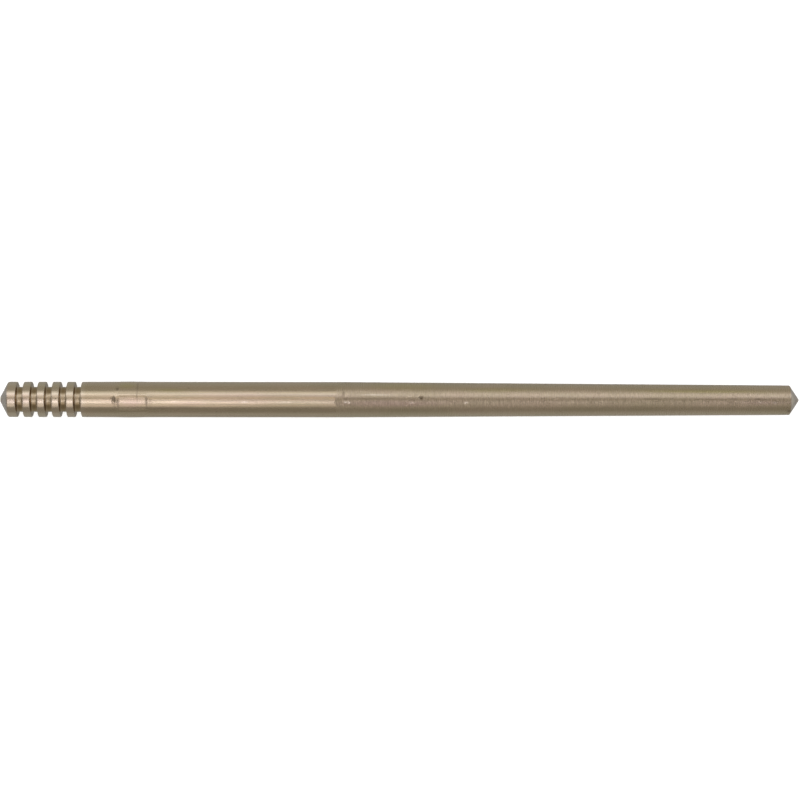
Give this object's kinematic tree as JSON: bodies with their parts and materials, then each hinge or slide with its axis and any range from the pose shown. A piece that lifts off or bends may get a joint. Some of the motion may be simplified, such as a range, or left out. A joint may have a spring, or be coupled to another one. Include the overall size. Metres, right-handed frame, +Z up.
{
  "type": "carburettor jet needle",
  "caption": "Slender round metering needle with clip grooves near its head, a plain guide shank, a long slight taper and blunt conical ends.",
  "frame": {"origin": "on the needle's axis, at the middle of the third clip groove from the head", "axes": "+X along the axis from the head to the metering tip, +Z up with the needle lying level"},
  "size_m": [0.0564, 0.0024, 0.0024],
  "materials": {
    "needle_brass": "drawn satin brass, ground duller on the taper, slightly tarnished"
  },
  "bodies": {
    "root": {"jet_needle": "needle_brass"}
  },
  "joints": []
}
